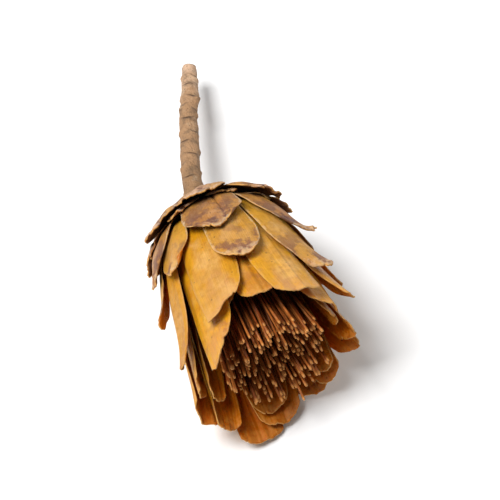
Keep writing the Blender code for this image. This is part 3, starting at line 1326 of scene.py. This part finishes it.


# ---------------------------------------------------------------- the head's rings


# The inner faces are partly their own deeper orange-brown and partly painted shade and warm bounced
# light: darker, with almost no blue.
INNER_FACE = SkinFinish(
    "bract_inner_face", root=(0.17, 0.033, 0.001), body=(0.52, 0.115, 0.002), tip=(0.52, 0.135, 0.004),
    gold=(0.50, 0.170, 0.008), stain=(0.20, 0.050, 0.008), margin=(0.60, 0.24, 0.035),
    stain_threshold=0.60, gold_share=0.5, vein_share=0.35, roughness=0.36, bump=0.35, glow=0.2)
SCALE_BACK = SkinFinish(
    "scale_inner_face", root=(0.03, 0.010, 0.004), body=(0.12, 0.042, 0.012), tip=(0.26, 0.11, 0.04),
    gold=(0.30, 0.12, 0.03), stain=(0.10, 0.04, 0.02), margin=(0.36, 0.19, 0.09), roughness=0.6)
BASAL_SKIN = SkinFinish(
    "basal_scale_skin", root=(0.38, 0.16, 0.050), body=(0.60, 0.32, 0.15), tip=(0.68, 0.41, 0.26),
    gold=(0.62, 0.34, 0.07), stain=(0.15, 0.065, 0.045), margin=(0.74, 0.53, 0.37),
    stain_threshold=0.53, stain_from=0.0, painted_highlight=(0.68, 0.48, 0.34), painted_highlight_share=0.6,
    roughness=0.66, bump=1.0)
# The round scales' painted base shade reaches far up, as the dark gap under the collar.
ROUND_SKIN = SkinFinish(
    "round_scale_skin", root=(0.60, 0.30, 0.05), body=(0.54, 0.26, 0.085), tip=(0.46, 0.21, 0.10),
    gold=(0.64, 0.34, 0.09), stain=(0.125, 0.058, 0.056), margin=(0.74, 0.52, 0.31),
    stain_threshold=0.51, stain_from=0.05, gold_share=0.7, painted_highlight=(0.66, 0.42, 0.25),
    painted_highlight_share=0.6, margin_share=0.65, roughness=0.55, bump=0.9, glow=0.1, base_shade_until=0.40)
OUTER_SKIN = SkinFinish(
    "outer_bract_skin", root=(0.68, 0.34, 0.02), body=(0.66, 0.34, 0.06), tip=(0.54, 0.24, 0.09),
    gold=(0.72, 0.38, 0.04), stain=(0.19, 0.075, 0.055), margin=(0.74, 0.50, 0.27),
    stain_threshold=0.53, stain_from=0.35, painted_highlight=(0.78, 0.49, 0.21), painted_highlight_share=0.5,
    margin_share=0.6, roughness=0.50, bump=0.7, glow=0.12)
LONG_SKIN = SkinFinish(
    "long_bract_skin", root=(0.66, 0.30, 0.006), body=(0.64, 0.33, 0.060), tip=(0.56, 0.27, 0.10),
    gold=(0.70, 0.34, 0.008), stain=(0.40, 0.16, 0.07), margin=(0.70, 0.38, 0.12),
    stain_threshold=0.60, stain_from=0.6, gold_share=0.8, painted_highlight=(0.80, 0.50, 0.18),
    painted_highlight_share=0.55, roughness=0.42, bump=0.5, glow=0.18)
INNER_SKIN = SkinFinish(
    "inner_bract_skin", root=(0.54, 0.20, 0.004), body=(0.62, 0.27, 0.012), tip=(0.58, 0.26, 0.05),
    gold=(0.70, 0.34, 0.008), stain=(0.38, 0.15, 0.05), margin=(0.68, 0.35, 0.09),
    stain_threshold=0.60, stain_from=0.6, gold_share=0.75, painted_highlight=(0.78, 0.48, 0.13),
    painted_highlight_share=0.5, roughness=0.40, bump=0.45, glow=0.2)

# Each ring: its curve as (along, radius), then its width, base, lag and where its flare starts.
# Each form: angle, reach, tip share, flare, cup, skew, slant and breadth.
RINGS = (
    BractRing(
        "basal_scale", "scale_bark", BASAL_SKIN, SCALE_BACK,
        ((1.0, 7.5), (3.5, 11.2), (7.0, 16.0), (10.0, 19.2), (14.0, 21.8)),
        16.0, 0.62, 1.8, 0.30,
        BractLook(ragged=1.0, dent=0.35, fold=0.55, curl=0.8, tip_curl=0.4, margin_wave=0.06,
                  thickness=0.7, margin_share=0.40, across=60, along=44, crumple=0.9, corner=0.5,
                  keel=0.2, tears=6, tear=2.4, belly=0.0, awning=True), (
            BractForm(98, 13.5, 0.90, 3.2, 0.4, 4), BractForm(53, 15.0, 0.88, 2.2, 0.3, -8),
            BractForm(8, 14.0, 0.74, 1.5, 0.3, 3), BractForm(-37, 12.4, 0.74, -0.4, 0.2, 4),
            BractForm(-82, 12.4, 0.74, -0.4, 0.2, -3), BractForm(-127, 12.4, 0.74, -0.2, 0.3, 4),
            BractForm(-172, 14.0, 0.74, 0.8, 0.3, -2), BractForm(143, 13.0, 0.88, 2.4, 0.4, 3)),
        side_gap=-7.0),
    BractRing(
        "collar_remnant", "scale_bark", BASAL_SKIN, SCALE_BACK,
        ((1.8, 7.7), (4.3, 10.9), (7.4, 14.8), (10.2, 17.9), (14.0, 20.6)),
        13.0, 0.62, 1.8, 0.30,
        BractLook(ragged=1.0, dent=0.30, fold=0.50, curl=0.8, tip_curl=0.4, margin_wave=0.07,
                  margin_share=0.40, across=44, along=36, crumple=0.8, corner=0.8, keel=0.2,
                  turn=-0.2, tears=5, tear=2.6, belly=0.0, awning=True),
        tuple(BractForm(angle, 12.6 + 0.9 * math.sin(angle), 0.7, 1.0, 0.2, 3)
              for angle in range(30, 390, 45)),
        side_gap=4.0, stands_for_cad=False),
    BractRing(
        "round_scale", "scale_leather", ROUND_SKIN, SCALE_BACK,
        ((3.8, 9.4), (7.0, 13.8), (12.0, 18.9), (20.0, 22.6), (30.0, 24.6)),
        20.5, 0.66, 3.4, 0.60,
        BractLook(ragged=0.45, dent=0.26, fold=0.30, curl=0.7, tip_curl=0.8, margin_wave=0.05,
                  thickness=0.7, along=56, crumple=0.35, corner=0.6, turn=0.1, tears=3, tear=2.2), (
            BractForm(98, 27.5, 0.56, 0.9, -0.2, 0, split=-0.34),
            BractForm(47, 31.0, 0.52, 1.4, 0.2, -14, twist=1.8),
            BractForm(-14, 29.0, 0.42, 1.3, 0.2, 3), BractForm(-62, 25.0, 0.46, -0.3, 0.0, 0),
            BractForm(-119, 25.0, 0.46, -0.3, 0.0, 0), BractForm(164, 26.5, 0.40, 0.6, 0.3, 4))),
    BractRing(
        "outer_bract", "outer_leather", OUTER_SKIN, INNER_FACE,
        ((6.6, 10.7), (10.0, 14.7), (15.0, 18.5), (22.0, 21.2), (32.0, 23.4), (48.0, 26.1)),
        17.4, 0.56, 2.8, 0.62,
        BractLook(ragged=0.4, dent=0.28, fold=0.32, curl=0.7, tip_curl=0.8, margin_wave=0.04,
                  thickness=0.7, along=68, crumple=0.3, corner=0.6, turn=0.0, tears=3, tear=1.6), (
            BractForm(91, 41.0, 0.72, 0.9, -0.3, 1),
            BractForm(55, 48.0, 0.46, 1.0, 0.2, -14, twist=2.4),
            BractForm(-2, 43.0, 0.35, 1.6, 0.2, 3), BractForm(-48, 42.0, 0.40, 0.2, 0.2, 3),
            BractForm(-90, 36.5, 0.45, -0.9, 0.0, 0), BractForm(-134, 42.0, 0.40, 0.2, 0.2, -3),
            BractForm(-176, 36.0, 0.40, 1.5, 0.3, 0), BractForm(141, 31.0, 0.40, 0.8, 0.2, 2))),
    BractRing(
        "long_bract", "long_leather", LONG_SKIN, INNER_FACE,
        ((9.4, 11.6), (13.0, 15.0), (18.0, 17.9), (25.0, 20.0), (40.0, 22.8), (56.0, 25.2),
         (70.0, 26.6)),
        17.6, 0.52, 0.8, 0.70,
        BractLook(ragged=0.40, dent=0.42, fold=0.42, curl=1.0, tip_curl=1.1, margin_wave=0.03,
                  thickness=0.62, along=88, crumple=0.2, keel=0.5, tears=1, tear=1.4), (
            BractForm(117, 53.5, 0.80, 0.8, -0.6, 0, 3.5),
            BractForm(70, 58.0, 0.86, 0.8, -0.5, 0, -0.5),
            BractForm(23, 56.0, 0.26, 2.6, 0.6, 2), BractForm(-24, 58.0, 0.60, 1.8, 0.8, 2, 1.0),
            BractForm(-63, 60.0, 0.66, 0.2, 0.2, 0, 1.0),
            BractForm(-107, 68.5, 0.82, 0.1, 0.1, 0, -0.8, 1.2),
            BractForm(-155, 64.0, 0.72, 0.5, 0.8, 3, 1.5, 1.25),
            BractForm(165, 57.0, 0.24, 1.4, 0.6, 3))),
    BractRing(
        "inner_bract", "inner_leather", INNER_SKIN, INNER_FACE,
        ((12.2, 12.3), (16.0, 14.9), (21.0, 16.9), (28.0, 18.3), (42.0, 20.7), (56.0, 22.7),
         (70.0, 24.2)),
        17.8, 0.50, 2.2, 0.80,
        BractLook(ragged=0.45, dent=0.42, fold=0.42, curl=0.9, tip_curl=0.9, margin_wave=0.03,
                  along=88, crumple=0.2, keel=0.5, tears=1, tear=1.4), (
            BractForm(90, 53.5, 0.80, 0.3, -0.4, 0, 0.5), BractForm(45, 60.0, 0.84, 0.4, 0.6, 0, -1.5),
            BractForm(-2, 60.5, 0.80, 0.4, 0.8, 2, 0.8), BractForm(-44, 61.0, 0.70, 0.3, 0.9, 0, -1.5),
            BractForm(-91, 65.5, 0.80, 0.2, 0.6, 0, -1.0, 1.15),
            BractForm(-136, 66.5, 0.80, 0.4, 0.8, -3, 1.0, 1.25),
            BractForm(-178, 61.0, 0.66, 0.4, 0.6, 3, 2.0),
            BractForm(135, 64.0, 0.74, 0.4, 0.3, 0, 4.5))),
    BractRing(
        "throat_bract", "throat_leather", INNER_SKIN, INNER_FACE,
        ((15.4, 12.7), (19.0, 13.9), (24.0, 15.0), (31.0, 16.4), (45.0, 18.5), (56.0, 20.0),
         (68.0, 21.3)),
        17.4, 0.50, 2.2, 0.90,
        BractLook(ragged=0.45, dent=0.30, fold=0.34, curl=0.6, tip_curl=0.5, margin_wave=0.03,
                  across=44, along=76, crumple=0.15, keel=0.3), (
            BractForm(70, 50.0, 0.72, 0.0, 0.4, 0, -1.2), BractForm(18, 58.0, 0.72, 0.0, 0.6, 2, -0.8),
            BractForm(-40, 60.0, 0.72, 0.0, 1.0, 0, 0.8), BractForm(-97, 63.0, 0.78, 0.0, 1.0, 0, -0.8),
            BractForm(-156, 61.0, 0.70, 0.0, 0.8, -2, 0.8),
            BractForm(128, 51.0, 0.70, 0.0, 0.4, 0, 1.5))),
)


def main() -> None:
    """Build the head and its studio; each new piece logs its face count."""
    logging.basicConfig(level=logging.INFO, format="%(name)s: %(message)s")
    placement = Placement.from_frame()
    Stem(placement).build()
    Receptacle(placement).build()
    FloretBrush(placement).build()
    Involucre(placement, RINGS).build()
    Studio().build()


if __name__ == "__main__":
    main()
